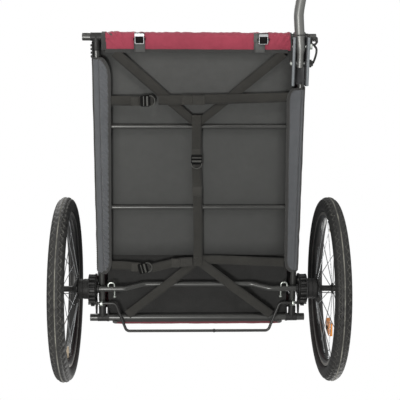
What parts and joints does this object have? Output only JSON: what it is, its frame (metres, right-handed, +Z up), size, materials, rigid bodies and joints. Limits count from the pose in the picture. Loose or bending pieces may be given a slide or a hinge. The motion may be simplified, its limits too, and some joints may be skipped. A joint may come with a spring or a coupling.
{
  "type": "child bicycle trailer",
  "caption": "Folding single-seat child bicycle trailer with spoked wheels, fabric cabin, drawbar, foot brake and push handle.",
  "frame": {"origin": "centre of the footprint on the ground, with the trailer parked on its wheels and coupling", "axes": "+Z up, -Y forward towards the coupling, +X the trailer's left"},
  "size_m": [0.784, 1.4676, 1.027],
  "materials": {
    "tube_black": "satin",
    "drawbar_grey": "satin metallic",
    "zinc": "bright zinc",
    "plastic_black": "fine grain",
    "button_red": "gloss",
    "floor_fabric": "coated weave",
    "webbing": "ribbed weave",
    "side_fabric": "coarse weave",
    "burgundy_fabric": "plain weave",
    "seat_fabric": "padded weave",
    "tyre": "treaded",
    "rim_black": "satin",
    "foam": "foam"
  },
  "bodies": {
    "chassis": {"cross_tube_front": "tube_black", "cross_tube_rear": "tube_black", "side_rail_left": "tube_black", "side_rail_right": "tube_black", "crossbar_front": "tube_black", "crossbar_rear": "tube_black", "axle_tube": "tube_black", "stub_axle_left": "tube_black", "stub_axle_right": "tube_black", "axle_u_bolt_left": "zinc", "axle_u_bolt_right": "zinc", "brake_clip_left": "zinc", "brake_clip_right": "zinc", "cover_hook_left": "zinc", "cover_hook_right": "zinc", "corner_tee_front_left": "plastic_black", "corner_tee_front_right": "plastic_black", "corner_tee_rear_left": "plastic_black", "corner_tee_rear_right": "plastic_black", "axle_plate_left": "plastic_black", "axle_plate_right": "plastic_black", "drawbar_bracket": "plastic_black", "drawbar_bolt": "plastic_black", "centre_strap_buckle": "plastic_black", "front_strap_buckle": "plastic_black", "rear_strap_buckle": "plastic_black", "harness_buckle": "plastic_black", "floor_panel": "floor_fabric", "underside_webbing": "webbing", "front_cross_strap": "webbing", "rear_cross_strap": "webbing", "harness_straps": "webbing", "pin_tether": "webbing", "side_panel_left": "side_fabric", "side_panel_right": "side_fabric", "roof_panel": "burgundy_fabric", "front_cover": "burgundy_fabric", "rear_panel": "burgundy_fabric", "seat_base": "seat_fabric", "seat_back": "seat_fabric"},
    "wheel_left": {"tyre_left": "tyre", "rim_left": "rim_black", "hub_left": "plastic_black", "brake_ring_left": "plastic_black"},
    "wheel_right": {"tyre_right": "tyre", "rim_right": "rim_black", "hub_right": "plastic_black", "brake_ring_right": "plastic_black"},
    "hub_button_left": {"release_button_left": "zinc"},
    "hub_button_right": {"release_button_right": "zinc"},
    "foot_brake": {"brake_bar": "tube_black"},
    "towbar": {"drawbar": "drawbar_grey", "coupling": "plastic_black"},
    "tow_lock": {"lock_pin": "zinc"},
    "tow_pin": {"hitch_pin": "zinc"},
    "hoop_front": {"front_hoop": "tube_black"},
    "hoop_rear": {"rear_hoop": "tube_black"},
    "handle": {"push_handle": "tube_black", "handle_grip": "foam"},
    "belt_button": {"harness_button": "button_red"}
  },
  "joints": [
    {"name": "wheel_left_spin", "type": "hinge", "parent": "chassis", "child": "wheel_left", "pos_m": [0.357, 0.48385, 0.25], "axis": [1, 0, 0], "continuous": true},
    {"name": "wheel_right_spin", "type": "hinge", "parent": "chassis", "child": "wheel_right", "pos_m": [-0.357, 0.48385, 0.25], "axis": [1, 0, 0], "continuous": true},
    {"name": "hub_button_left_press", "type": "slide", "parent": "chassis", "child": "hub_button_left", "axis": [-1, 0, 0], "range_m": [0, 0.004], "stiffness_N_per_m": 600},
    {"name": "hub_button_right_press", "type": "slide", "parent": "chassis", "child": "hub_button_right", "axis": [1, 0, 0], "range_m": [0, 0.004], "stiffness_N_per_m": 600},
    {"name": "foot_brake_press", "type": "hinge", "parent": "chassis", "child": "foot_brake", "pos_m": [0, 0.52668, 0.26505], "axis": [-1, 0, 0], "range_deg": [0, 25]},
    {"name": "drawbar_fold", "type": "hinge", "parent": "chassis", "child": "towbar", "pos_m": [0.255, -0.1159, 0.1134], "axis": [1, 0, 0], "range_deg": [0, 180]},
    {"name": "lock_pin_pull", "type": "slide", "parent": "towbar", "child": "tow_lock", "axis": [1, 0, 0], "range_m": [0, 0.046]},
    {"name": "hitch_pin_pull", "type": "slide", "parent": "towbar", "child": "tow_pin", "axis": [0, -0.2038, 0.979], "range_m": [0, 0.04]},
    {"name": "cabin_fold", "type": "hinge", "parent": "chassis", "child": "hoop_rear", "pos_m": [0, 0.53444, 0.30139], "axis": [1, 0, 0], "range_deg": [0, 94], "deforming": ["side_panel_left", "side_panel_right", "roof_panel", "front_cover", "rear_panel", "seat_base", "seat_back", "harness_straps"]},
    {"name": "front_hoop_fold", "type": "hinge", "parent": "chassis", "child": "hoop_front", "pos_m": [0, -0.15087, 0.15873], "axis": [1, 0, 0], "range_deg": [-54, 0]},
    {"name": "handle_tilt", "type": "hinge", "parent": "hoop_rear", "child": "handle", "pos_m": [0, 0.50297, 0.78036], "axis": [1, 0, 0], "range_deg": [-30, 45]},
    {"name": "belt_button_press", "type": "slide", "parent": "chassis", "child": "belt_button", "axis": [0, 0.9897, -0.1433], "range_m": [0, 0.0035], "stiffness_N_per_m": 400}
  ],
  "couplings": [
    {"joint": "front_hoop_fold", "follows": "cabin_fold", "ratio": -0.574}
  ]
}
